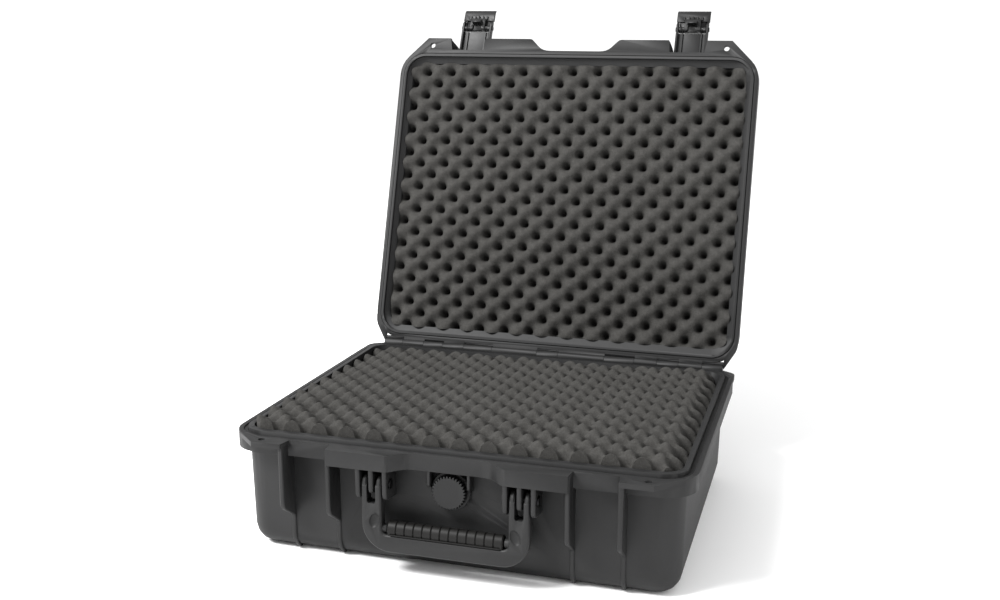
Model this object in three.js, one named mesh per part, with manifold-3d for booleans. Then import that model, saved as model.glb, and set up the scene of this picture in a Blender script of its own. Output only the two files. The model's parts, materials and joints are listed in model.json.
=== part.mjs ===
// Hard equipment case: moulded base and lid, draw latches, folding handle, pressure valve, foam.
// Units are millimetres. X runs to the right, Y to the back, Z up. The origin is the middle of the
// base's footprint on the surface it stands on. The lid is drawn closed and then opened about its
// hinge, so that both halves share one set of outlines.
import * as THREE from 'three';
import { mergeVertices } from 'three/addons/utils/BufferGeometryUtils.js';
import Module from 'manifold-3d';

const wasm = await Module();
wasm.setup();

// ---- driving dimensions -------------------------------------------------------------------------
const rimHalfX = 250; // the rims of base and lid share one rounded outline
const rimHalfY = 205;
const rimRadius = 36;
const partingZ = 132; // the base's rim plane
const lidHeight = 50;
const skirtHeight = 17.5; // the rim's hanging edge
const skirtWall = 3.2;
const rimPlate = 9;
const wallHalfX = 239; // outside of the wall under the rim
const wallHalfY = 192;
const wallRadius = 25;
const wallThickness = 5;
const draft = 3; // how far the wall leans in over the base's height
const floorThickness = 4;
const bottomRadius = 22;
const lidTopRadius = 18;
const rimGap = 0.4; // between the closed rims

const flangeFront = -221.4; // front face of the blocks, tabs and ribs
const rimFront = -rimHalfY;
const tabPlate = 5.6;
const ribWidth = 5;
const ribInnerX = 127.7; // the ribs either side of each latch bay
const ribOuterX = 180.5;
const padlock = { x: 205.6, y: flangeFront + 10.4, radius: 3.75 };

const sealGroove = { outer: 5.5, inner: 10.5, depth: 6 }; // inset from the rim's edge
const tongue = { outer: 6.2, inner: 9.8, relief: 1.6 }; // the lid's, with a fine groove outside it
const lipHeight = 3; // the base's inner lip stands over the rim plane

const hinge = { y: 212.6, z: partingZ, radius: 5.5, pin: 2, hole: 2.1 };
const hingeSplits = [0, 14.5, 77.5, 117.6, 147.7, 175.7, 206.3, 232.6]; // base, lid, base, ...
const knuckleGap = 0.4;
const openAngle = 107.3;

const latch = {
  x: 153.6,
  pivotY: flangeFront + 14.7,
  pivotZ: partingZ + 28,
  halfWidth: 21.8,
  leverPin: 42, // from the lid's pivot down to the lever's pin
  length: 72,
  pinRadius: 2,
  lean: 98, // how far the open latch has swung
};

const handle = { pinY: -209.9, pinZ: 98.5, eye: 9, outer: 89.8, inner: 68.2, bottom: 26 };
const lugX = [64, 79, 93.5];
const valve = { z: 92.5, knobRadius: 18.4, collarRadius: 21.4, face: -192.2 };

// ---- materials ----------------------------------------------------------------------------------
const shellPlastic = new THREE.MeshStandardMaterial({ color: 0x3b3c3c, roughness: 0.62, metalness: 0 });
const latchPlastic = new THREE.MeshStandardMaterial({ color: 0x353535, roughness: 0.55, metalness: 0 });
const rubber = new THREE.MeshStandardMaterial({ color: 0x1d1d1d, roughness: 0.85, metalness: 0 });
const steel = new THREE.MeshStandardMaterial({ color: 0x8d9092, roughness: 0.35, metalness: 1 });
const foam = new THREE.MeshStandardMaterial({ color: 0x4a4947, roughness: 0.97, metalness: 0 });

// ---- solids from three.js geometry ----------------------------------------------------------------
function solid(geometry) {
  geometry.deleteAttribute('normal');
  geometry.deleteAttribute('uv');
  const merged = mergeVertices(geometry, 1e-4);
  return new wasm.Manifold(new wasm.Mesh({
    numProp: 3,
    vertProperties: new Float32Array(merged.attributes.position.array),
    triVerts: new Uint32Array(merged.index.array),
  }));
}

function join(...parts) {
  return parts.flat().reduce((whole, part) => whole.add(part));
}

function cut(whole, ...tools) {
  return tools.flat().reduce((rest, tool) => rest.subtract(tool), whole);
}

function block(x0, x1, y0, y1, z0, z1) {
  const geometry = new THREE.BoxGeometry(x1 - x0, y1 - y0, z1 - z0);
  geometry.translate((x0 + x1) / 2, (y0 + y1) / 2, (z0 + z1) / 2);
  return solid(geometry);
}

function outline(points) {
  return new THREE.Shape(points.map(([u, v]) => new THREE.Vector2(u, v)));
}

// An outline in plan, raised from z0 to z1.
function prismZ(shape, z0, z1, segments = 4) {
  const geometry = new THREE.ExtrudeGeometry(shape, {
    depth: z1 - z0, bevelEnabled: false, curveSegments: segments,
  });
  geometry.translate(0, 0, z0);
  return solid(geometry);
}

// A side profile in (y, z), carried along X from x0 to x1, with its edges eased by round.
function prismX(shape, x0, x1, round = 0, segments = 4) {
  const geometry = new THREE.ExtrudeGeometry(shape, {
    depth: x1 - x0 - 2 * round,
    bevelEnabled: round > 0,
    bevelThickness: round,
    bevelSize: round,
    bevelOffset: -round,
    bevelSegments: 1,
    curveSegments: segments,
  });
  geometry.translate(0, 0, x0 + round);
  const axes = new THREE.Matrix4().makeBasis(
    new THREE.Vector3(0, 1, 0), new THREE.Vector3(0, 0, 1), new THREE.Vector3(1, 0, 0));
  geometry.applyMatrix4(axes);
  return solid(geometry);
}

// A front outline in (x, z), carried along Y from y0 back to y1.
function prismY(shape, y0, y1, round = 0, segments = 4) {
  const geometry = new THREE.ExtrudeGeometry(shape, {
    depth: y1 - y0 - 2 * round,
    bevelEnabled: round > 0,
    bevelThickness: round,
    bevelSize: round,
    bevelOffset: -round,
    bevelSegments: 1,
    curveSegments: segments,
  });
  const axes = new THREE.Matrix4().makeBasis(
    new THREE.Vector3(1, 0, 0), new THREE.Vector3(0, 0, 1), new THREE.Vector3(0, -1, 0));
  geometry.applyMatrix4(axes);
  geometry.translate(0, y1 - round, 0);
  return solid(geometry);
}

function rodX(y, z, radius, x0, x1, sides = 12) {
  const geometry = new THREE.CylinderGeometry(radius, radius, x1 - x0, sides);
  geometry.rotateZ(-Math.PI / 2);
  geometry.translate((x0 + x1) / 2, y, z);
  return solid(geometry);
}

function rodY(x, z, radius, y0, y1, sides = 24) {
  const geometry = new THREE.CylinderGeometry(radius, radius, y1 - y0, sides);
  geometry.translate(x, (y0 + y1) / 2, 0);
  geometry.translate(0, 0, z);
  return solid(geometry);
}

function rodZ(x, y, radius, z0, z1, sides = 16) {
  const geometry = new THREE.CylinderGeometry(radius, radius, z1 - z0, sides);
  geometry.rotateX(Math.PI / 2);
  geometry.translate(x, y, (z0 + z1) / 2);
  return solid(geometry);
}

// A rectangle with round corners, centred on the case.
function roundedRect(halfX, halfY, radius) {
  const shape = new THREE.Shape();
  shape.absarc(halfX - radius, halfY - radius, radius, 0, Math.PI / 2);
  shape.absarc(radius - halfX, halfY - radius, radius, Math.PI / 2, Math.PI);
  shape.absarc(radius - halfX, radius - halfY, radius, Math.PI, Math.PI * 1.5);
  shape.absarc(halfX - radius, radius - halfY, radius, Math.PI * 1.5, Math.PI * 2);
  return shape;
}

function rimOutline(inset) {
  return roundedRect(rimHalfX - inset, rimHalfY - inset, rimRadius - inset);
}

// A closed skin over a stack of rounded rectangles { halfX, halfY, radius, z }, lowest first.
function loft(sections) {
  const cornerSteps = 6;
  const rings = sections.map(({ halfX, halfY, radius, z }) => {
    const ring = [];
    for (let corner = 0; corner < 4; corner += 1) {
      const cx = (corner === 0 || corner === 3 ? 1 : -1) * (halfX - radius);
      const cy = (corner < 2 ? 1 : -1) * (halfY - radius);
      for (let step = 0; step <= cornerSteps; step += 1) {
        const angle = (corner + step / cornerSteps) * Math.PI / 2;
        ring.push(cx + radius * Math.cos(angle), cy + radius * Math.sin(angle), z);
      }
    }
    return ring;
  });
  const count = 4 * (cornerSteps + 1);
  const index = [];
  for (let level = 0; level + 1 < rings.length; level += 1) {
    for (let i = 0; i < count; i += 1) {
      const a = level * count + i;
      const b = level * count + (i + 1) % count;
      index.push(a, b, b + count, a, b + count, a + count);
    }
  }
  const top = (rings.length - 1) * count;
  for (let i = 1; i + 1 < count; i += 1) {
    index.push(0, i + 1, i, top, top + i, top + i + 1);
  }
  const geometry = new THREE.BufferGeometry();
  geometry.setAttribute('position', new THREE.Float32BufferAttribute(rings.flat(), 3));
  geometry.setIndex(index);
  return solid(geometry);
}

// Sections of a drafted tub whose closed end, at endZ, is rounded by radius. The tub's size is the
// wall's at openZ, less inset, and it leans in by draft over the base's height.
function tubSections(endZ, openZ, endRadius, inset) {
  const towards = Math.sign(openZ - endZ);
  const radius = Math.max(endRadius, 1);
  const steps = 4;
  const sections = [];
  const add = (z, shrink) => {
    const lean = draft * Math.abs(openZ - z) / partingZ;
    sections.push({
      halfX: wallHalfX - inset - lean - shrink,
      halfY: wallHalfY - inset - lean - shrink,
      radius: Math.max(wallRadius - inset - shrink, 1.5),
      z,
    });
  };
  for (let step = 0; step <= steps; step += 1) {
    const angle = step / steps * Math.PI / 2;
    add(endZ + towards * radius * (1 - Math.cos(angle)), radius * (1 - Math.sin(angle)));
  }
  add(openZ, 0);
  return towards > 0 ? sections : sections.reverse();
}

function mirrored(part) {
  return part.mirror([1, 0, 0]);
}

function bothSides(part) {
  return [part, mirrored(part)];
}

function node(name, part, material) {
  const { vertProperties, triVerts } = part.getMesh();
  const geometry = new THREE.BufferGeometry();
  geometry.setAttribute('position', new THREE.BufferAttribute(vertProperties, 3));
  geometry.setIndex(new THREE.BufferAttribute(triVerts, 1));
  geometry.computeVertexNormals();
  const mesh = new THREE.Mesh(geometry, material);
  mesh.name = name;
  return mesh;
}

// ---- the rim, shared by base and lid ---------------------------------------------------------------
// side is -1 for the base, whose rim lies under its plane, and +1 for the lid.
function fromPlane(plane, side, near, far) {
  const ends = [plane + side * near, plane + side * far];
  return [Math.min(...ends), Math.max(...ends)];
}

function blockOutline(inset) {
  const shape = new THREE.Shape();
  const front = flangeFront + inset;
  shape.moveTo(30 + 2 * inset, rimFront + 4);
  shape.lineTo(34 + 2 * inset, rimFront);
  shape.quadraticCurveTo(45 + inset, rimFront, 50.5 + inset, rimFront - 5.5 + inset);
  shape.lineTo(59.5 + inset, front + 2);
  shape.quadraticCurveTo(61.5 + inset, front, 65 + inset, front);
  shape.lineTo(128.5 - inset, front);
  shape.lineTo(130.2 - inset, rimFront);
  shape.lineTo(130.2 - inset, rimFront + 4);
  return shape;
}

function tabOutline() {
  return outline([
    [179.5, flangeFront], [212.6, flangeFront], [239.5, -194.4], [236, -188], [176.6, -188],
    [176.6, rimFront - 1],
  ]);
}

// The fillers behind the back corners, out to the end of the hinge. The lid's runs off at a slant and
// the base's is fuller.
function lidCornerOutline(endX) {
  return outline([
    [249.9, 175], [249, 183.5], [247.2, 189], [244.3, 194], [endX, hinge.y - 0.6], [endX, 196], [240, 175],
  ]);
}

function baseCornerOutline(endX) {
  return outline([
    [249.9, 172], [249.8, 190], [248.6, 196.5], [245.4, 200.8], [240, 204.6], [endX, hinge.y - 3],
    [endX, 196], [240, 172],
  ]);
}

function rimBody(plane, side) {
  const [plateLow, plateHigh] = fromPlane(plane, side, 0, rimPlate);
  const [skirtLow, skirtHigh] = fromPlane(plane, side, 0, skirtHeight);
  const [tabLow, tabHigh] = fromPlane(plane, side, 0, tabPlate);
  const [pocketLow, pocketHigh] = fromPlane(plane, side, tabPlate, skirtHeight + 1);
  const skirtInside = fromPlane(plane, side, rimPlate, skirtHeight + 1);
  const skirt = cut(
    prismZ(rimOutline(0), skirtLow, skirtHigh),
    prismZ(rimOutline(skirtWall), ...skirtInside),
  );
  const frontBlock = cut(
    prismZ(blockOutline(0), skirtLow, skirtHigh),
    prismZ(blockOutline(skirtWall), pocketLow, pocketHigh),
  );
  const tab = cut(
    prismZ(tabOutline(), tabLow, tabHigh),
    rodZ(padlock.x, padlock.y, padlock.radius, tabLow - 1, tabHigh + 1, 20),
  );
  return join(
    prismZ(rimOutline(0), plateLow, plateHigh),
    skirt,
    bothSides(frontBlock),
    bothSides(tab),
  );
}

// ---- hinge knuckles --------------------------------------------------------------------------------
function hingeSpans(first) {
  const spans = [];
  for (let i = first; i + 1 < hingeSplits.length; i += 2) {
    spans.push([hingeSplits[i] + (i ? knuckleGap / 2 : 0), hingeSplits[i + 1] - knuckleGap / 2]);
  }
  return spans;
}

// One knuckle: a barrel round the axis, a web to the rim, and a gusset down the back of the skirt.
function knuckle(x0, x1, side) {
  const { y, z, radius } = hinge;
  const web = outline([
    [rimHalfY - 2, z + side * 0.2], [y, z + side * 0.2], [y + radius * 0.8, z + side * radius * 0.6],
    [y + 1, z + side * 10], [rimHalfY - 2, z + side * 16],
  ]);
  return join(prismX(web, x0, x1), rodX(y, z, radius, x0, x1, 16));
}

function knuckles(first, side) {
  const spans = hingeSpans(first);
  const parts = spans.map(([x0, x1]) => knuckle(first === 0 && x0 < 1 ? -x1 : x0, x1, side));
  const mirroredParts = parts.filter((_, i) => !(first === 0 && i === 0)).map(mirrored);
  return [...parts, ...mirroredParts];
}

// Between its own knuckles the lid's edge wraps behind the base's barrels, so no light shows through.
function hingeLeaves() {
  const { y, z, radius } = hinge;
  const leaf = outline([
    [rimHalfY - 2, z + 1.2], [rimHalfY + 1.4, z + 1.2], [y - 4.6, z + 4.6], [y - 1.2, z + radius + 0.9],
    [y - 1.2, z + 12], [rimHalfY - 2, z + 17],
  ]);
  const room = rodX(y, z, radius + 0.45, -rimHalfX, rimHalfX, 24);
  const spans = hingeSpans(0).map(([x0, x1]) => [x0 < 1 ? -x1 : x0, x1]);
  const leaves = spans.map(([x0, x1]) => cut(prismX(leaf, x0 - 0.5, x1 + 0.5), room));
  return [...leaves, ...leaves.slice(1).map(mirrored)];
}

function hingeHole() {
  return rodX(hinge.y, hinge.z, hinge.hole, -rimHalfX, rimHalfX);
}

// ---- base ------------------------------------------------------------------------------------------
// The front ribs: full depth beside the latch bays, then stepping back to a low bead that follows the
// wall down and round the bottom edge.
function frontRib(x) {
  const wallTop = -wallHalfY;
  const wallLow = -(wallHalfY - draft * (partingZ - bottomRadius) / partingZ);
  const bead = 2;
  const filletY = wallLow + bottomRadius;
  const beadRadius = bottomRadius + bead;
  const shape = new THREE.Shape();
  shape.moveTo(flangeFront + 1.5, partingZ - 0.8);
  shape.lineTo(flangeFront + 3, 66);
  shape.quadraticCurveTo(flangeFront + 3.5, 60, flangeFront + 7, 57);
  shape.lineTo(wallLow - bead - 4, 45);
  shape.quadraticCurveTo(wallLow - bead, 42, wallLow - bead, 37);
  shape.lineTo(wallLow - bead, bottomRadius);
  const lowest = Math.acos(bottomRadius / beadRadius);
  shape.absarc(filletY, bottomRadius, beadRadius, Math.PI, Math.PI * 1.5 - lowest);
  shape.lineTo(filletY, bottomRadius * 0.6);
  shape.lineTo(wallTop + 3, 60);
  shape.lineTo(wallTop + 3, partingZ - 0.8);
  return prismX(shape, x - ribWidth / 2, x + ribWidth / 2, 1, 3);
}

// The lugs that carry the handle's pins, under each front block.
function handleLugs() {
  const { pinY, pinZ } = handle;
  const high = partingZ - skirtHeight + 8;
  const lug = (x, low, nose) => {
    const shape = new THREE.Shape();
    shape.moveTo(-wallHalfY + 3, high);
    shape.lineTo(flangeFront + 0.6, high);
    shape.lineTo(flangeFront + 1.4, low + nose);
    shape.quadraticCurveTo(flangeFront + 1.6, low, flangeFront + 1.6 + nose * 0.8, low);
    shape.lineTo(-wallHalfY + 3, low - 3);
    return prismX(shape, x - 2.5, x + 2.5, 0.8, 3);
  };
  return cut(
    join(lug(lugX[0], 82, 9), lug(lugX[1], 88.5, 6), lug(lugX[2], 82, 9)),
    rodX(pinY, pinZ, 2.6, lugX[0] - 5, lugX[2] + 5),
  );
}

function valveGuard() {
  const low = partingZ - skirtHeight - 18;
  const shape = outline([
    [-wallHalfY + 3, partingZ - rimPlate], [rimFront + 1, partingZ - rimPlate], [rimFront + 0.4, low + 3],
    [rimFront + 3, low], [-wallHalfY + 3, low - 4],
  ]);
  const room = rodY(0, valve.z, valve.collarRadius + 0.5, valve.face - 4.2, valve.face - 0.2);
  return cut(prismX(shape, 19.8, 23.2, 0.6), room);
}

// Gussets carry the hinge's load into the back wall under each of the base's knuckles.
function backGusset(x) {
  const shape = outline([
    [wallHalfY - 4, partingZ - rimPlate], [rimHalfY - 1, partingZ - rimPlate], [rimHalfY - 1, 112],
    [wallHalfY - 1, 78], [wallHalfY - 4, 78],
  ]);
  return prismX(shape, x - 2, x + 2);
}

function baseShell() {
  const skin = loft(tubSections(0, partingZ, bottomRadius, 0));
  const cavity = loft(tubSections(floorThickness, partingZ + lipHeight + 1, bottomRadius - 4, wallThickness));
  const lip = prismZ(rimOutline(sealGroove.inner), partingZ - rimPlate, partingZ + lipHeight);
  const groove = cut(
    prismZ(rimOutline(sealGroove.outer), partingZ - sealGroove.depth, partingZ + 1),
    prismZ(rimOutline(sealGroove.inner), partingZ - sealGroove.depth - 1, partingZ + 2),
  );
  const corner = prismZ(baseCornerOutline(232.4), partingZ - tabPlate, partingZ - 0.2);
  const gussets = [21, 98, 161, 220].map((x) => bothSides(backGusset(x)));
  const outside = join(
    skin,
    rimBody(partingZ, -1),
    lip,
    bothSides(corner),
    knuckles(0, -1),
    gussets.flat(),
    [ribInnerX, ribOuterX].map((x) => bothSides(frontRib(x))).flat(),
    bothSides(handleLugs()),
    bothSides(valveGuard()),
  );
  const valveHole = rodY(0, valve.z, 11.2, -200, -170);
  return cut(outside, cavity, groove, hingeHole(), valveHole);
}

// ---- lid, drawn closed -----------------------------------------------------------------------------
// The lid's ribs flank each latch and hold the ends of its pivot pin.
function latchRib(x) {
  const lidPlane = partingZ + rimGap;
  const shape = new THREE.Shape();
  shape.moveTo(-wallHalfY + 3, lidPlane + 1);
  shape.lineTo(flangeFront + 1.5, lidPlane + 1);
  shape.lineTo(flangeFront + 3, lidPlane + 32);
  shape.quadraticCurveTo(flangeFront + 3.5, lidPlane + 38, flangeFront + 8, lidPlane + 38.5);
  shape.lineTo(-wallHalfY + 3, lidPlane + 44);
  return cut(
    prismX(shape, x - ribWidth / 2, x + ribWidth / 2, 1, 3),
    rodX(latch.pivotY, latch.pivotZ, latch.pinRadius + 0.1, x - ribWidth, x + ribWidth),
  );
}

function lidBackGusset(x) {
  const shape = outline([
    [wallHalfY - 4, partingZ + rimPlate], [rimHalfY - 1, partingZ + rimPlate],
    [rimHalfY - 1, partingZ + 20], [wallHalfY - 1, partingZ + 36], [wallHalfY - 4, partingZ + 36],
  ]);
  return prismX(shape, x - 2, x + 2);
}

function lidShell() {
  const plane = partingZ + rimGap;
  const top = partingZ + lidHeight;
  const skin = loft(tubSections(top, plane, lidTopRadius, 0));
  const cavity = loft(tubSections(top - floorThickness, plane - 3, lidTopRadius - 4, wallThickness));
  const tongueLow = partingZ - 0.9;
  const tongueRing = cut(
    prismZ(rimOutline(tongue.outer), tongueLow, plane + 1),
    prismZ(rimOutline(tongue.inner), tongueLow - 1, plane + 2),
  );
  const relief = cut(
    prismZ(rimOutline(tongue.outer - 1.1), plane - 1, plane + tongue.relief),
    prismZ(rimOutline(tongue.outer + 0.1), plane - 2, plane + tongue.relief + 1),
  );
  const lipRoom = prismZ(rimOutline(tongue.inner + 0.1), plane - 1, partingZ + lipHeight + 0.4);
  const mouth = loft([
    { inset: tongue.inner + 0.1, z: partingZ + lipHeight + 0.3 },
    { inset: 17.5, z: partingZ + lipHeight + 6 },
  ].map(({ inset, z }) => ({
    halfX: rimHalfX - inset, halfY: rimHalfY - inset, radius: rimRadius - inset, z,
  })));
  const corner = prismZ(lidCornerOutline(233.4), plane, plane + tabPlate);
  const gussets = [46, 133, 191].map((x) => bothSides(lidBackGusset(x)));
  const panel = prismZ(roundedRect(150, 110, 12), top - 1.2, top + 1);
  const outside = join(
    skin,
    rimBody(plane, 1),
    bothSides(corner),
    knuckles(1, 1),
    hingeLeaves(),
    gussets.flat(),
    [ribInnerX, ribOuterX].map((x) => bothSides(latchRib(x))).flat(),
  );
  return cut(cut(outside, lipRoom, mouth, relief).add(tongueRing), cavity, hingeHole(), panel);
}

function rimSeal() {
  const low = partingZ - sealGroove.depth + 0.3;
  return cut(
    prismZ(rimOutline(sealGroove.outer + 0.4), low, partingZ - 1.3),
    prismZ(rimOutline(sealGroove.inner - 0.4), low - 1, partingZ),
  );
}

function hingePin() {
  return rodX(hinge.y, hinge.z, hinge.pin, 0.3, hingeSplits.at(-1) + 0.6);
}

// ---- draw latch, drawn closed about its own pivot ----------------------------------------------------
// Profiles are in (y, z) with the lid's pivot at the origin: the latch hangs down, its face forward.
function latchLink() {
  const { halfWidth, leverPin, pinRadius } = latch;
  const plate = outline([[-3.2, 4], [-8, 3], [-8, -leverPin + 6.2], [-3.4, -leverPin + 6.2]]);
  const cheek = new THREE.Shape();
  cheek.moveTo(4.6, 0);
  cheek.absarc(0, 0, 4.6, 0, Math.PI);
  cheek.lineTo(-8, 1);
  cheek.lineTo(-8, -leverPin - 11);
  cheek.lineTo(-4, -leverPin - 11.6);
  cheek.lineTo(1.2, -leverPin - 5);
  cheek.lineTo(1.2, -7);
  const barrel = rodX(0, 0, 4.6, -halfWidth + 2, halfWidth - 2, 16);
  const window = block(-14, 14, -2.9, 5, -4.8, 5);
  const cheeks = [-1, 1].map((s) => {
    const inner = halfWidth - 3;
    return prismX(cheek, s > 0 ? inner : -halfWidth, s > 0 ? halfWidth : -inner, 0.5, 4);
  });
  const innerRibs = [-13, 13].map((x) => block(x - 0.9, x + 0.9, -5, -1.4, -leverPin + 6.5, -6));
  return cut(
    join(prismX(plate, -halfWidth + 1, halfWidth - 1), barrel, cheeks, innerRibs),
    window,
    rodX(0, 0, pinRadius + 0.1, -30, 30),
    rodX(-4, -leverPin, pinRadius + 0.1, -30, 30),
  );
}

function latchLever() {
  const { halfWidth, leverPin, length, pinRadius } = latch;
  const centre = halfWidth - 3.4;
  const hub = new THREE.Shape();
  const hubHalf = 11;
  hub.moveTo(-8, -leverPin + 4);
  hub.lineTo(-8, -leverPin - 14);
  hub.lineTo(-1, -leverPin - 14);
  hub.lineTo(0.6, -leverPin - 4);
  hub.lineTo(0.6, -leverPin + 2);
  hub.lineTo(-1.2, -leverPin + 4);
  const claw = new THREE.Shape();
  claw.moveTo(-3, -leverPin - 3.9);
  claw.lineTo(5.6, -leverPin - 3.9);
  claw.lineTo(8, -leverPin - 4.7);
  claw.quadraticCurveTo(8, -leverPin - 8.5, 4, -leverPin - 9.5);
  claw.lineTo(-3, -leverPin - 12.5);
  const pull = new THREE.Shape();
  pull.moveTo(-8, -leverPin - 12);
  pull.lineTo(-8.6, -length + 6);
  pull.quadraticCurveTo(-9.4, -length + 1, -12.2, -length);
  pull.lineTo(-9.4, -length);
  pull.quadraticCurveTo(-6, -length + 1.5, -5, -length + 6);
  pull.lineTo(-4, -leverPin - 12);
  const skirt = block(-centre, centre, -8, -6.2, -leverPin - 14, -leverPin + 3.8);
  const bosses = [-1, 1].map((s) => {
    const ends = [s * (centre - 3.2), s * centre];
    return rodX(-4, -leverPin, 4, Math.min(...ends), Math.max(...ends));
  });
  const recess = block(-6.3, 6.3, -1.4, 3, -leverPin - 3.6, -leverPin + 6);
  const stiffeners = [-12, -6, 0, 6, 12].map((x) => block(
    x - 0.7, x + 0.7, -5.5, -2.4, -leverPin - 19, -leverPin - 13.5));
  return cut(
    join(
      prismX(hub, -hubHalf, hubHalf, 0.4),
      rodX(-4, -leverPin, 3.4, -centre, centre),
      bosses,
      prismX(claw, -6.2, 6.2, 0.3, 3),
      prismX(pull, -halfWidth - 0.8, halfWidth + 0.8, 0.5, 3),
      skirt,
      stiffeners,
    ),
    recess,
    rodX(-4, -leverPin, pinRadius + 0.1, -30, 30),
  );
}

function latchLidPin() {
  return rodX(0, 0, latch.pinRadius, -latch.halfWidth - 6.2, latch.halfWidth + 6.2);
}

// The lever's pin is a snap rivet, with a low round head over each cheek.
function latchLeverPin() {
  const { halfWidth, leverPin, pinRadius } = latch;
  const heads = [-1, 1].map((s) => {
    const near = s * (halfWidth + 0.25);
    const far = s * (halfWidth + 1.1);
    return rodX(-4, -leverPin, 3.1, Math.min(near, far), Math.max(near, far));
  });
  return join(rodX(-4, -leverPin, pinRadius, -halfWidth - 0.5, halfWidth + 0.5), heads);
}

// ---- handle ------------------------------------------------------------------------------------------
const barTop = 45;
const grip = { halfX: 62, low: barTop + 0.3, top: 58.5, front: -219.2, back: -203.4 };
const armFront = -218.9;
const armBack = -205.9;

function handleFrame() {
  const { outer, inner, bottom, pinY, pinZ, eye } = handle;
  const shape = new THREE.Shape();
  const big = 30;
  const small = 6;
  const fork = { inner: 74.2, outer: 83.8, low: 79.6 };
  shape.moveTo(outer, pinZ);
  shape.lineTo(inner, pinZ);
  shape.lineTo(inner, barTop + small);
  shape.absarc(inner - small, barTop + small, small, 0, -Math.PI / 2, true);
  shape.lineTo(small - inner, barTop);
  shape.absarc(small - inner, barTop + small, small, -Math.PI / 2, -Math.PI, true);
  shape.lineTo(-inner, pinZ);
  shape.lineTo(-outer, pinZ);
  shape.lineTo(-outer, bottom + big);
  shape.absarc(big - outer, bottom + big, big, Math.PI, Math.PI * 1.5);
  shape.lineTo(outer - big, bottom);
  shape.absarc(outer - big, bottom + big, big, Math.PI * 1.5, Math.PI * 2);
  const frame = prismY(shape, armFront, armBack, 1.6, 4);
  const eyes = [[inner, fork.inner], [fork.outer, outer]].map(([x0, x1]) => (
    prismX(disc(pinY, pinZ, eye), x0, x1, 1.6, 5)));
  const core = prismX(
    outline([[-214.6, barTop - 4], [-208.2, barTop - 4], [-208.2, grip.top - 4], [-214.6, grip.top - 4]]),
    -grip.halfX + 2, grip.halfX - 2, 1);
  const slot = join(
    block(fork.inner, fork.outer, -230, -190, fork.low, 120),
    block(fork.inner + 1.2, fork.outer - 1.2, -230, -190, fork.low - 1.2, 120),
  );
  const collar = prismX(disc(-212.2, 50.4, 5), grip.halfX + 0.5, inner + 2, 1.2, 4);
  const tool = join(slot, cornerDish(), rodX(pinY, pinZ, 2.6, 60, 100));
  return cut(join(frame, eyes.map(bothSides).flat(), core, bothSides(collar)), bothSides(tool));
}

function disc(y, z, radius) {
  const shape = new THREE.Shape();
  shape.absarc(y, z, radius, 0, Math.PI * 2);
  return shape;
}

// The thumb-sized dish moulded into the front of the handle above each corner.
function cornerDish() {
  const geometry = new THREE.SphereGeometry(1, 14, 10);
  geometry.scale(5.6, 3, 8.6);
  geometry.rotateY(THREE.MathUtils.degToRad(-18));
  geometry.translate(75.4, armFront, 60);
  return solid(geometry);
}

// The grip is a soft sleeve of rounded rings over the frame's core.
function handleGrip() {
  const rings = 13;
  const pitch = 2 * grip.halfX / rings;
  const { low, top, front, back } = grip;
  const middle = (front + back) / 2;
  const shape = new THREE.Shape();
  shape.moveTo(back - 1, low);
  shape.lineTo(back, low + 4);
  shape.bezierCurveTo(back, top - 2, middle + 4, top, middle, top);
  shape.bezierCurveTo(middle - 4, top, front, top - 2, front, low + 4);
  shape.lineTo(front + 1, low);
  const parts = [];
  for (let i = 0; i < rings; i += 1) {
    const x0 = -grip.halfX + i * pitch;
    parts.push(prismX(shape, x0 - 0.15, x0 + pitch + 0.15, 1.1, 4));
  }
  parts.push(block(-grip.halfX + 3, grip.halfX - 3, front - 0.4, back + 0.4, low, low + 1.3));
  const room = block(-grip.halfX + 1.7, grip.halfX - 1.7, -214.9, -207.9, low - 1, grip.top - 3.7);
  return cut(join(...parts), room);
}

function handlePin() {
  const { pinY, pinZ } = handle;
  const buttons = [[lugX[0] - 4.4, lugX[0] - 2.8], [lugX[2] + 2.8, lugX[2] + 4.4]];
  return join(
    rodX(pinY, pinZ, 2.5, lugX[0] - 3.6, lugX[2] + 3.6),
    buttons.map(([x0, x1]) => rodX(pinY, pinZ, 5, x0, x1, 16)),
  );
}

// ---- pressure valve -----------------------------------------------------------------------------------
// Lathe profiles are (radius, depth) with depth measured along the valve's axis, out of the wall.
function turned(profile, sides = 24) {
  const geometry = new THREE.LatheGeometry(profile.map(([r, y]) => new THREE.Vector2(r, y)), sides);
  geometry.rotateX(Math.PI);
  geometry.translate(0, valve.face, valve.z);
  return solid(geometry);
}

function valveGasket() {
  const { collarRadius } = valve;
  return turned([
    [12, 0.3], [collarRadius - 0.6, 0.3], [collarRadius - 0.6, 1.7], [12, 1.7], [12, 0.3],
  ]);
}

function valveBody() {
  const { collarRadius } = valve;
  return turned([
    [2.5, -18], [10.7, -18], [10.7, 2], [collarRadius, 2], [collarRadius, 3], [collarRadius - 0.8, 3.8],
    [8, 3.8], [8, 8.6], [2.5, 8.6], [2.5, -18],
  ]);
}

function valveMembrane() {
  return turned([[0, 8.9], [7, 8.9], [7, 9.5], [0, 9.5]], 20);
}

function valveNut() {
  const shape = new THREE.Shape();
  const across = 16;
  for (let i = 0; i < 6; i += 1) {
    const angle = (i + 0.5) * Math.PI / 3;
    shape[i ? 'lineTo' : 'moveTo'](across * Math.cos(angle), valve.z + across * Math.sin(angle));
  }
  return cut(prismY(shape, -185.2, -179, 0.8), rodY(0, valve.z, 11.05, -190, -176));
}

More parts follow.
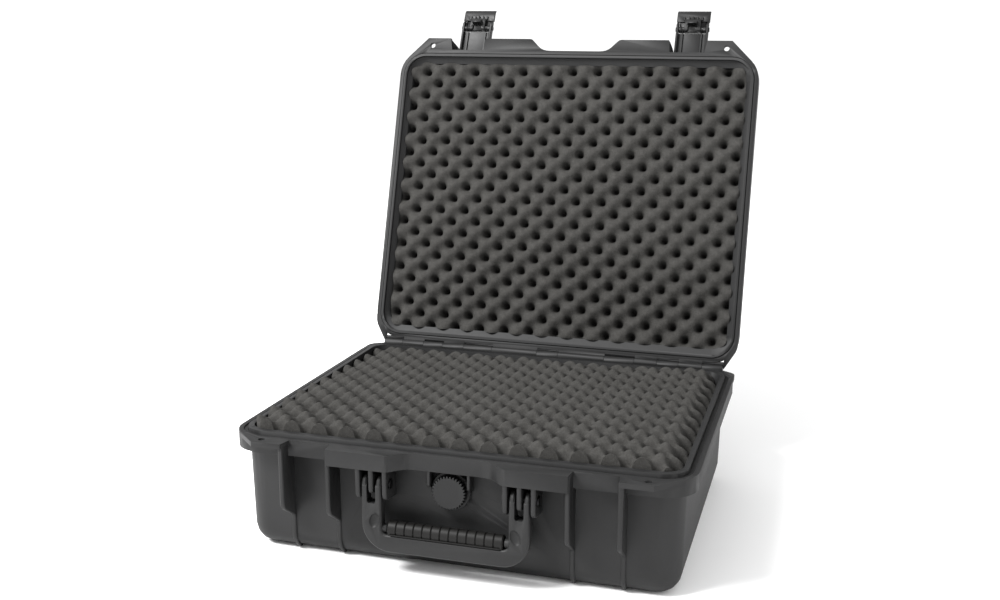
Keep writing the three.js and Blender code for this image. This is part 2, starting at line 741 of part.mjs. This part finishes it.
function valveKnob() {
  const teeth = 36;
  const toothDepth = 1.5;
  const shape = new THREE.Shape();
  for (let i = 0; i < teeth * 2; i += 1) {
    const angle = i / (teeth * 2) * Math.PI * 2;
    const radius = valve.knobRadius - (i % 2 ? toothDepth : 0);
    shape[i ? 'lineTo' : 'moveTo'](radius * Math.cos(angle), valve.z + radius * Math.sin(angle));
  }
  const rim = prismY(shape, valve.face - 10.6, valve.face - 4.4, 0.5);
  const face = turned([[0, 9], [15.2, 9], [15.2, 10.8], [12, 11.1], [0, 11.4]]);
  const bore = turned([[0, 4], [8.2, 4], [8.2, 9.8], [0, 9.8]]);
  return cut(join(rim, face), bore);
}

// ---- foam -----------------------------------------------------------------------------------------
// Each pad fills the tub between two heights with a little room all round.
function foamPad(sections, z0, z1) {
  const room = 0.6;
  const slab = block(-rimHalfX, rimHalfX, -rimHalfY, rimHalfY, z0, z1);
  const shrunk = sections.map((s) => ({ ...s, halfX: s.halfX - room, halfY: s.halfY - room }));
  return loft(shrunk).intersect(slab);
}

function baseFoam(z0, z1) {
  const open = partingZ + 20;
  const sections = tubSections(floorThickness, open, bottomRadius - 4, wallThickness + 0.6);
  const valveRoom = block(-20, 20, -200, -170, valve.z - 20, valve.z + 20);
  return cut(foamPad(sections, z0, z1), valveRoom);
}

function lidFoam() {
  const top = partingZ + lidHeight - floorThickness;
  const sections = tubSections(top, partingZ - 3, lidTopRadius - 4, wallThickness + 0.3);
  return foamPad(sections, partingZ + 8, top - 0.5);
}

// ---- assembly ---------------------------------------------------------------------------------------
const foamSplits = { bottom: 24, middle: 84, top: partingZ + 6 };
const equipmentCase = new THREE.Group();
equipmentCase.add(
  node('base_shell', baseShell(), shellPlastic),
  node('rim_seal', rimSeal(), rubber),
  node('hinge_pin_right', hingePin(), steel),
  node('hinge_pin_left', mirrored(hingePin()), steel),
  node('handle_frame', handleFrame(), shellPlastic),
  node('handle_grip', handleGrip(), rubber),
  node('handle_pin_right', handlePin(), steel),
  node('handle_pin_left', mirrored(handlePin()), steel),
  node('valve_body', valveBody(), latchPlastic),
  node('valve_gasket', valveGasket(), rubber),
  node('valve_membrane', valveMembrane(), rubber),
  node('valve_nut', valveNut(), latchPlastic),
  node('valve_knob', valveKnob(), latchPlastic),
  node('base_foam_bottom', baseFoam(floorThickness + 0.4, foamSplits.bottom), foam),
  node('base_foam_middle', baseFoam(foamSplits.bottom + 0.4, foamSplits.middle), foam),
  node('base_foam_top', baseFoam(foamSplits.middle + 0.4, foamSplits.top), foam),
);

const lid = new THREE.Group();
lid.position.set(0, hinge.y, hinge.z);
lid.rotation.x = -THREE.MathUtils.degToRad(openAngle);
equipmentCase.add(lid);

const lidParts = new THREE.Group();
lidParts.position.set(0, -hinge.y, -hinge.z);
lid.add(lidParts);
lidParts.add(
  node('lid_shell', lidShell(), shellPlastic),
  node('lid_foam', lidFoam(), foam),
);

for (const [name, side] of [['left', -1], ['right', 1]]) {
  const swing = new THREE.Group();
  swing.position.set(side * latch.x, latch.pivotY, latch.pivotZ);
  swing.rotation.x = -THREE.MathUtils.degToRad(latch.lean);
  lidParts.add(swing);
  swing.add(
    node(`latch_${name}_link`, latchLink(), latchPlastic),
    node(`latch_${name}_lever`, latchLever(), latchPlastic),
    node(`latch_${name}_lid_pin`, latchLidPin(), steel),
    node(`latch_${name}_lever_pin`, latchLeverPin(), steel),
  );
}

export default equipmentCase;
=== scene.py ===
import json
import math

import bpy
import bmesh
from mathutils import Matrix, Vector, noise


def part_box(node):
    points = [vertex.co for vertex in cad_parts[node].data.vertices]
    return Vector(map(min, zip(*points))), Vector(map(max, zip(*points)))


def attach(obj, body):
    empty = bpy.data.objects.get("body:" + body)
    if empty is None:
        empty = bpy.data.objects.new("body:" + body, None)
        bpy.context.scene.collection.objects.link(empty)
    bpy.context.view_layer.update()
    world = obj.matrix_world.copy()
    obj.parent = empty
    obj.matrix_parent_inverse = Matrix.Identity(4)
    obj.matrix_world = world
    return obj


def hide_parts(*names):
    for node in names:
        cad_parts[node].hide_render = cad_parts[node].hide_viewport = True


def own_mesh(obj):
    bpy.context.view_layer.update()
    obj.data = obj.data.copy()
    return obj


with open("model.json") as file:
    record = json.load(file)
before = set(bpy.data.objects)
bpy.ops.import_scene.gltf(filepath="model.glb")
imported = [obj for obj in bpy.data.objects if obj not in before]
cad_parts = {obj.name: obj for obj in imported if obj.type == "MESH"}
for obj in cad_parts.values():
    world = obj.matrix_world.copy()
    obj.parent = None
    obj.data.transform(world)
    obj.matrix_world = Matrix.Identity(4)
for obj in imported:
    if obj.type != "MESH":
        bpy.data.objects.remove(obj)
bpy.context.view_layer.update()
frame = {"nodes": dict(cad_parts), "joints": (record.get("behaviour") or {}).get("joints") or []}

# ---- Viewpoint -------------------------------------------------------------------------------------
# The camera stands to the right of the case, at about the height of a seated person's eye, and
# looks slightly down into the open base.
bpy.ops.object.select_all(action="DESELECT")
bpy.ops.object.camera_add(
    location=(0.3666, -1.2876, 0.5491),
    rotation=[math.radians(turn) for turn in (77.504, -0.467, 16.228)],
)
viewpoint = bpy.context.object
viewpoint.name = "viewpoint"
viewpoint.data.lens = 42.79
viewpoint.data.sensor_width = 36
bpy.context.scene.camera = viewpoint


# ---- Base shell ------------------------------------------------------------------------------------
# The base is one injection moulding in charcoal polypropylene copolymer. Its mould is spark eroded,
# so the faces have a fine even grain, and every outer edge comes out slightly round.
class Wire:
    """An output in a material's tree; adding or multiplying wires adds Math nodes."""

    def __init__(self, tree, socket=None):
        self.tree = tree
        self.socket = socket

    def node(self, kind, settings=None, inputs=None, output=0):
        made = self.tree.nodes.new("ShaderNode" + kind)
        for name, value in (settings or {}).items():
            if name == "stops":
                ramp = made.color_ramp.elements
                while len(ramp) < len(value):
                    ramp.new(1.0)
                for stop, (place, shade) in zip(ramp, value):
                    stop.position = place
                    stop.color = (*shade, 1.0) if hasattr(shade, "__len__") else (shade,) * 3 + (1.0,)
            else:
                setattr(made, name, value)
        for name, value in (inputs or {}).items():
            if isinstance(value, Wire):
                self.tree.links.new(value.socket, made.inputs[name])
            else:
                made.inputs[name].default_value = value
        return Wire(self.tree, made.outputs[output])

    def math(self, operation, first, second):
        return self.node("Math", {"operation": operation}, {0: first, 1: second})

    def __add__(self, other):
        return self.math("ADD", self, other)

    def __sub__(self, other):
        return self.math("SUBTRACT", self, other)

    def __mul__(self, other):
        return self.math("MULTIPLY", self, other)


def new_finish(name):
    """An empty material, the wire to build it from, and its Principled node."""
    finish = bpy.data.materials.new(name)
    finish.use_nodes = True
    tree = finish.node_tree
    return finish, Wire(tree), tree.nodes["Principled BSDF"]


def connect(shader, socket, wire):
    wire.tree.links.new(wire.socket, shader.inputs[socket])


def moulded(name, dark, pale, roughness, grain=0.00009):
    """Grained moulded plastic: cloudy flow shading, fine scuffs and a spark-eroded surface."""
    finish, start, shader = new_finish(name)
    place = start.node("TexCoord", output="Object")
    cloud = start.node("TexNoise", {}, {"Vector": place, "Scale": 9.0, "Detail": 3.0, "Roughness": 0.55})
    mottle = start.node("TexNoise", {}, {"Vector": place, "Scale": 160.0, "Detail": 2.0})
    scuff_place = start.node("Mapping", {}, {"Vector": place, "Scale": (14.0, 14.0, 170.0)})
    scuffs = start.node(
        "TexNoise", {}, {"Vector": scuff_place, "Scale": 6.0, "Detail": 6.0, "Roughness": 0.7}
    )
    worn = start.node("ValToRGB", {"stops": [(0.60, 0.0), (0.78, 1.0)]}, {"Fac": scuffs})
    shade = cloud * 0.6 + mottle * 0.25 + worn * 0.12
    colour = start.node("ValToRGB", {"stops": [(0.25, dark), (0.75, pale)]}, {"Fac": shade})
    connect(shader, "Base Color", colour)
    connect(shader, "Roughness", cloud * 0.10 + mottle * 0.08 - worn * 0.05 + (roughness - 0.08))
    pits = start.node(
        "TexVoronoi",
        {"feature": "SMOOTH_F1"},
        {"Vector": place, "Scale": 1500.0, "Smoothness": 0.6},
    )
    sparks = start.node("TexNoise", {}, {"Vector": place, "Scale": 900.0, "Detail": 3.0, "Roughness": 0.65})
    height = pits * 0.5 + sparks * 0.5
    bump = start.node("Bump", {}, {"Height": height, "Strength": 0.55, "Distance": grain})
    connect(shader, "Normal", bump)
    shader.inputs["Specular IOR Level"].default_value = 0.35
    return finish


MERGE_WITHIN = 0.00002  # corners closer than this are one corner
FLAT_WITHIN = 0.6  # degrees: facets this close to flat are joined
EASE_OVER = 38  # degrees: only edges sharper than this are rounded
SMOOTH_UNDER = 32  # degrees: softer edges than this shade as one surface


def select_only(piece):
    bpy.ops.object.select_all(action="DESELECT")
    piece.select_set(True)
    bpy.context.view_layer.objects.active = piece


def apply_modifiers(piece):
    select_only(piece)
    for modifier in list(piece.modifiers):
        bpy.ops.object.modifier_apply(modifier=modifier.name)


def finished_moulding(node, finish, body, ease):
    """A moulded part with the rounded edges that the mould gives it, in place of its plain solid."""
    source = frame["nodes"][node]
    piece = bpy.data.objects.new(node + "_finished", source.data.copy())
    bpy.context.collection.objects.link(piece)
    select_only(piece)
    bpy.ops.object.mode_set(mode="EDIT")
    bpy.ops.mesh.select_all(action="SELECT")
    bpy.ops.mesh.customdata_custom_splitnormals_clear()
    bpy.ops.mesh.remove_doubles(threshold=MERGE_WITHIN)
    bpy.ops.mesh.dissolve_limited(angle_limit=math.radians(FLAT_WITHIN))
    bpy.ops.object.mode_set(mode="OBJECT")
    if ease:
        rounding = piece.modifiers.new("mould radius", "BEVEL")
        rounding.width = ease
        rounding.segments = 2
        rounding.limit_method = "ANGLE"
        rounding.angle_limit = math.radians(EASE_OVER)
        rounding.use_clamp_overlap = True
        rounding.harden_normals = True
        apply_modifiers(piece)
    select_only(piece)
    bpy.ops.object.shade_smooth_by_angle(angle=math.radians(SMOOTH_UNDER))
    piece.data.materials.clear()
    piece.data.materials.append(finish)
    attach(piece, body)
    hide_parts(node)
    return piece


shell_finish = moulded("charcoal_moulding", (0.011, 0.011, 0.0112), (0.022, 0.022, 0.0223), 0.56)
finished_moulding("base_shell", shell_finish, "base", 0.0009)


# ---- Rim seal --------------------------------------------------------------------------------------
# A neoprene cord lies in the groove round the base's rim, where the lid's tongue presses on it.
# It is matt black with a faint bloom, cut from cord stock and pushed in by hand.
def rubbery(name, dark, pale, roughness):
    finish, start, shader = new_finish(name)
    place = start.node("TexCoord", output="Object")
    bloom = start.node("TexNoise", {}, {"Vector": place, "Scale": 35.0, "Detail": 4.0, "Roughness": 0.6})
    fine = start.node("TexNoise", {}, {"Vector": place, "Scale": 1100.0, "Detail": 2.0})
    colour = start.node("ValToRGB", {"stops": [(0.3, dark), (0.8, pale)]}, {"Fac": bloom})
    connect(shader, "Base Color", colour)
    connect(shader, "Roughness", bloom * 0.15 + roughness)
    shader.inputs["Specular IOR Level"].default_value = 0.3
    connect(shader, "Normal", start.node("Bump", {}, {"Height": fine, "Strength": 0.4, "Distance": 0.0001}))
    return finish


seal_finish = rubbery("neoprene", (0.010, 0.010, 0.010), (0.020, 0.020, 0.020), 0.62)
for node in ("rim_seal", "valve_gasket", "valve_membrane"):
    frame["nodes"][node].material_slots[0].material = seal_finish


# ---- Hinge, handle and latch pins --------------------------------------------------------------------
# Every pin is plain drawn steel rod, cut to length and pressed home. Drawing leaves faint lines
# along the rod.
def drawn_steel(name, dark, pale):
    finish, start, shader = new_finish(name)
    place = start.node("TexCoord", output="Object")
    along = start.node("Mapping", {}, {"Vector": place, "Scale": (30.0, 2500.0, 2500.0)})
    lines = start.node("TexNoise", {}, {"Vector": along, "Scale": 1.0, "Detail": 3.0})
    colour = start.node("ValToRGB", {"stops": [(0.3, dark), (0.7, pale)]}, {"Fac": lines})
    connect(shader, "Base Color", colour)
    shader.inputs["Metallic"].default_value = 1.0
    connect(shader, "Roughness", lines * 0.2 + 0.25)
    connect(shader, "Normal", start.node("Bump", {}, {"Height": lines, "Strength": 0.3, "Distance": 0.00005}))
    return finish


steel_finish = drawn_steel("drawn_steel", (0.24, 0.245, 0.25), (0.36, 0.365, 0.37))
blacked_finish = drawn_steel("blacked_steel", (0.030, 0.030, 0.031), (0.060, 0.060, 0.062))
for node, piece in frame["nodes"].items():
    if "_pin" in node:
        piece.material_slots[0].material = steel_finish if "hinge" in node else blacked_finish


# ---- Egg-crate foam in the base ------------------------------------------------------------------------
# Three layers of grey polyether foam fill the base. The top one is convoluted: a block is squeezed
# between knobbed rollers and slit through its middle, which leaves rows of rounded points.
def open_cell_foam(name, dark, pale):
    finish, start, shader = new_finish(name)
    place = start.node("TexCoord", output="Object")
    cells = start.node("TexVoronoi", {"feature": "F1"}, {"Vector": place, "Scale": 900.0})
    clumps = start.node("TexNoise", {}, {"Vector": place, "Scale": 260.0, "Detail": 4.0, "Roughness": 0.7})
    drift = start.node("TexNoise", {}, {"Vector": place, "Scale": 14.0, "Detail": 2.0})
    shade = cells * 0.30 + clumps * 0.55 + drift * 0.25
    colour = start.node("ValToRGB", {"stops": [(0.30, dark), (0.72, pale)]}, {"Fac": shade})
    connect(shader, "Base Color", colour)
    shader.inputs["Roughness"].default_value = 1.0
    shader.inputs["Specular IOR Level"].default_value = 0.15
    height = cells * 0.5 + clumps * 0.8
    connect(shader, "Normal", start.node("Bump", {}, {"Height": height, "Strength": 0.8, "Distance": 0.0007}))
    return finish


foam_finish = open_cell_foam("grey_foam", (0.031, 0.030, 0.0283), (0.058, 0.0567, 0.0542))
for node in ("base_foam_bottom", "base_foam_middle"):
    frame["nodes"][node].material_slots[0].material = foam_finish


FOAM_STEP = 0.0017  # spacing of the pads' mesh
TIP_ROUND = 0.06  # how blunt the points are
WANDER = 0.0008  # how far the rows stray, and at what pace
WANDER_PACE = 18
DENT = 0.0005  # small unevenness of the skin, and its pace
DENT_PACE = 60
SPLAY_DEPTH = 0.009  # only points higher than this lean out over the wall
SPLAY_REACH = 0.02  # and only this close to the edge


def round_corner(x, y, half_x, half_y, radius):
    """Where a point of a square-cornered sheet goes once its corners are cut round."""
    u = (abs(x) - (half_x - radius)) / radius
    v = (abs(y) - (half_y - radius)) / radius
    if u <= 0 or v <= 0:
        return x, y
    across = half_x - radius + radius * u * math.sqrt(1 - v * v / 2)
    along = half_y - radius + radius * v * math.sqrt(1 - u * u / 2)
    return math.copysign(across, x), math.copysign(along, y)


def near(distance, reach):
    """1 at an edge, falling smoothly to 0 at the given reach from it."""
    left = max(0.0, min(1.0, 1 - distance / reach))
    return left * left * (3 - 2 * left)


def egg_crate(
    name, half, corner, skirt, tips, slope, pit, well_from, pitch, offset,
    turn=0.0, side=1, sunk=None, splay=0.0,
):
    """A convoluted pad. tips is the height of its points, and skirt lists the height and the
    inset of each line round its sides, the last one being round its flat back."""
    half_x, half_y = half
    columns = round(2 * half_x / FOAM_STEP)
    rows = round(2 * half_y / FOAM_STEP)
    shape = bmesh.new()
    points, plain = [], []
    for row in range(rows + 1):
        points.append([])
        plain.append([])
        for column in range(columns + 1):
            x, y = half_x * (2 * column / columns - 1), half_y * (2 * row / rows - 1)
            x, y = round_corner(x, y, half_x, half_y, corner)
            wander = noise.noise_vector(
                Vector((x * WANDER_PACE, y * WANDER_PACE, tips * 40))
            ) * WANDER
            u = math.cos(2 * math.pi * (x - turn * y + wander.x - offset[0]) / pitch[0])
            v = math.cos(2 * math.pi * (y + turn * x + wander.y - offset[1]) / pitch[1])
            fall = math.acos(max(-1.0, min(1.0, u * v))) / math.pi
            well = max(0.0, (fall - well_from) / (1 - well_from))
            drop = slope * (math.sqrt(fall * fall + TIP_ROUND) - math.sqrt(TIP_ROUND))
            drop += pit * well * well * (3 - 2 * well)
            drop += noise.noise(Vector((x * DENT_PACE, y * DENT_PACE, 3))) * DENT
            lean = splay * max(0.0, 1 - drop / SPLAY_DEPTH)
            out_x = math.copysign(lean * near(half_x - abs(x), SPLAY_REACH), x)
            out_y = math.copysign(lean * near(half_y - abs(y), SPLAY_REACH), y)
            if sunk:
                drop += sunk(x, y)
            points[-1].append(shape.verts.new((x + out_x, y + out_y, tips - side * drop)))
            plain[-1].append((x, y))
    for row in range(rows):
        for column in range(columns):
            below, above = points[row], points[row + 1]
            shape.faces.new((below[column], below[column + 1], above[column + 1], above[column]))
    edge = [(0, column) for column in range(columns)]
    edge += [(row, columns) for row in range(rows)]
    edge += [(rows, column) for column in range(columns, 0, -1)]
    edge += [(row, 0) for row in range(rows, 0, -1)]
    ring = [points[row][column] for row, column in edge]
    for height, inset in skirt:
        lower = []
        for row, column in edge:
            x, y = plain[row][column]
            x, y = x * (1 - inset / half_x), y * (1 - inset / half_y)
            lower.append(shape.verts.new((x, y, height)))
        for place in range(len(edge)):
            after = (place + 1) % len(edge)
            shape.faces.new((ring[place], lower[place], lower[after], ring[after]))
        ring = lower
    shape.faces.new(ring)
    bmesh.ops.recalc_face_normals(shape, faces=shape.faces)
    mesh = bpy.data.meshes.new(name)
    shape.to_mesh(mesh)
    shape.free()
    pad = bpy.data.objects.new(name, mesh)
    bpy.context.collection.objects.link(pad)
    select_only(pad)
    bpy.ops.object.shade_smooth_by_angle(angle=math.radians(55))
    pad.data.materials.append(foam_finish)
    return pad


def tucked_in(x, y):
    """The base pad sags towards the hinge, and its edges are pressed down into the case."""
    sag = near(half_base[1] - y, 0.30) * 0.0105 * (1 - 0.5 * near(half_base[0] - x, 0.15))
    left = near(x + half_base[0], 0.030) * 0.0035
    right = near(half_base[0] - x, 0.020) * 0.014
    return sag + left + right


base_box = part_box("base_foam_top")
half_base = (base_box[1][0] - 0.0005, base_box[1][1] - 0.0005)
base_pad = egg_crate(
    "base_egg_crate",
    half=half_base,
    corner=0.019,
    skirt=[(base_box[0][2], 0.0012)],
    tips=0.1468,
    slope=0.0170,
    pit=0.019,
    well_from=0.46,
    pitch=(0.0315, 0.034),
    offset=(0.0060, -0.1847),
    sunk=tucked_in,
)
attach(base_pad, "base")
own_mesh(base_pad)
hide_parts("base_foam_top")


# ---- Lid shell -------------------------------------------------------------------------------------
# The lid is moulded in the same plastic as the base and hangs on it by interleaved knuckles. Its
# rim carries the tongue that closes on the seal.
finished_moulding("lid_shell", shell_finish, "lid", 0.0008)


# ---- Egg-crate foam in the lid -------------------------------------------------------------------------
# A thinner convoluted pad is pushed into the lid. It is cut flush with the rim, so that it holds
# the contents down when the case is shut.
lid_joint = next(joint for joint in frame["joints"] if joint["name"] == "lid_hinge")
hinge_line = Vector(lid_joint["pos_m"])
opening_turn = math.radians(lid_joint["range_deg"][0])
to_open = (
    Matrix.Translation(hinge_line)
    @ Matrix.Rotation(opening_turn, 4, "X")
    @ Matrix.Translation(-hinge_line)
)
lid_pad = egg_crate(
    "lid_egg_crate",
    half=(0.2333, 0.1860),
    corner=0.018,
    skirt=[(0.1495, 0.0004), (0.1650, 0.0012), (0.1715, 0.0040), (0.1772, 0.0125)],
    tips=0.1354,
    slope=0.0175,
    pit=0.0140,
    well_from=0.58,
    pitch=(0.0352, 0.0328),
    offset=(0.0010, 0.0020),
    turn=0.016,
    side=-1,
    splay=0.0030,
)
lid_pad.data.transform(to_open)
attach(lid_pad, "lid")
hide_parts("lid_foam")


# ---- Latches ---------------------------------------------------------------------------------------
# Each latch is a link that swings on the lid and a lever that pivots in it, both moulded in glass
# filled nylon. The nylon is a little smoother and darker than the shells.
latch_finish = moulded("glass_filled_nylon", (0.007, 0.007, 0.0072), (0.015, 0.015, 0.0153), 0.46, 0.00005)
for side in ("left", "right"):
    finished_moulding(f"latch_{side}_link", latch_finish, f"latch_{side}", 0.0004)
    finished_moulding(f"latch_{side}_lever", latch_finish, f"latch_{side}_lever", 0.0004)


# ---- Handle ----------------------------------------------------------------------------------------
# The handle is a stiff moulded bow that folds down against the front, with a soft ribbed sleeve
# moulded over its bar.
finished_moulding("handle_frame", shell_finish, "handle", 0.0010)
grip_finish = rubbery("grip_rubber", (0.004, 0.0038, 0.0035), (0.009, 0.0085, 0.008), 0.5)
finished_moulding("handle_grip", grip_finish, "handle", 0)


# ---- Pressure valve ----------------------------------------------------------------------------------
# A round valve in glass filled nylon is screwed through the front wall with a nut and a gasket. Its
# knob is moulded with teeth round its edge and a dished face, and opens a vent behind a membrane.
for node in ("valve_body", "valve_nut"):
    frame["nodes"][node].material_slots[0].material = latch_finish
knob_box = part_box("valve_knob")
knob_middle = 0.5 * (knob_box[0][0] + knob_box[1][0]), 0.5 * (knob_box[0][2] + knob_box[1][2])
knob_radius = 0.5 * (knob_box[1][0] - knob_box[0][0])
KNOB_TEETH = 32
KNOB_SIDES = KNOB_TEETH * 8
TOOTH_DEPTH = 0.0021
knob_front, knob_back = knob_box[0][1], knob_box[1][1]
# Each ring: height over the back, radius, and how deep the teeth are cut there.
knob_rings = [
    (0.0, knob_radius - 0.0006, 1.0),
    (0.25, knob_radius, 1.0),
    (0.80, knob_radius, 1.0),
    (0.92, knob_radius - 0.0002, 1.0),
    (0.985, knob_radius - 0.0007, 0.9),
    (1.0, knob_radius - 0.0013, 0.55),
    (1.0, knob_radius - 0.0032, 0.0),
    (0.96, knob_radius - 0.0045, 0.0),
    (0.94, knob_radius * 0.5, 0.0),
    (0.93, knob_radius * 0.2, 0.0),
]
knob_mesh = bpy.data.meshes.new("knurled_knob")
knob_shape = bmesh.new()
rings = []
for height, radius, cut in knob_rings:
    ring = []
    for side in range(KNOB_SIDES):
        turn = 2 * math.pi * side / KNOB_SIDES
        notch = 0.5 + 0.5 * math.cos(KNOB_TEETH * turn)
        reach = radius - TOOTH_DEPTH * cut * notch**2
        ring.append(
            knob_shape.verts.new(
                (
                    knob_middle[0] + reach * math.cos(turn),
                    knob_back + (knob_front - knob_back) * height,
                    knob_middle[1] + reach * math.sin(turn),
                )
            )
        )
    rings.append(ring)
for lower, upper in zip(rings, rings[1:]):
    for side in range(KNOB_SIDES):
        after = (side + 1) % KNOB_SIDES
        knob_shape.faces.new((lower[side], lower[after], upper[after], upper[side]))
knob_shape.faces.new(rings[0])
knob_shape.faces.new(list(reversed(rings[-1])))
bmesh.ops.recalc_face_normals(knob_shape, faces=knob_shape.faces)
knob_shape.to_mesh(knob_mesh)
knob_shape.free()
valve_knob = bpy.data.objects.new("knurled_knob", knob_mesh)
bpy.context.collection.objects.link(valve_knob)
valve_knob.data.materials.append(latch_finish)
select_only(valve_knob)
bpy.ops.object.shade_smooth_by_angle(angle=math.radians(40))
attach(valve_knob, "valve_knob")
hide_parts("valve_knob")


# ---- Floor and light -----------------------------------------------------------------------------------
# The case stands on a plain pale floor. The light is an even white surround with a large soft lamp
# high on the left and a weaker one on the right.
bpy.ops.object.select_all(action="DESELECT")
FLOOR_GAP = 0.0005  # keeps the floor clear of the underside
bpy.ops.mesh.primitive_plane_add(size=40, location=(0, 0, -FLOOR_GAP))
floor = bpy.context.object
floor.name = "floor"
floor_finish, _, floor_shader = new_finish("pale_floor")
floor_shader.inputs["Base Color"].default_value = (0.93, 0.93, 0.93, 1)
floor_shader.inputs["Roughness"].default_value = 0.8
floor.data.materials.append(floor_finish)

world = bpy.data.worlds.new("studio")
world.use_nodes = True
world.node_tree.nodes["Background"].inputs["Color"].default_value = (1, 1, 1, 1)
world.node_tree.nodes["Background"].inputs["Strength"].default_value = 0.95
bpy.context.scene.world = world


def soft_light(name, place, target, size, power):
    bpy.ops.object.select_all(action="DESELECT")
    bpy.ops.object.light_add(type="AREA", location=place)
    lamp = bpy.context.object
    lamp.name = name
    lamp.data.shape = "RECTANGLE"
    lamp.data.size, lamp.data.size_y = size
    lamp.data.energy = power
    aim = Vector(target) - Vector(place)
    lamp.rotation_euler = aim.to_track_quat("-Z", "Y").to_euler()


soft_light("key", (-1.7, -1.6, 2.6), (0, 0, 0.2), (1.2, 1.2), 190)
soft_light("fill", (2.2, -1.2, 1.4), (0, 0, 0.2), (1.4, 1.4), 12)
bpy.context.scene.view_settings.view_transform = "Standard"
bpy.context.scene.view_settings.look = "Medium High Contrast"
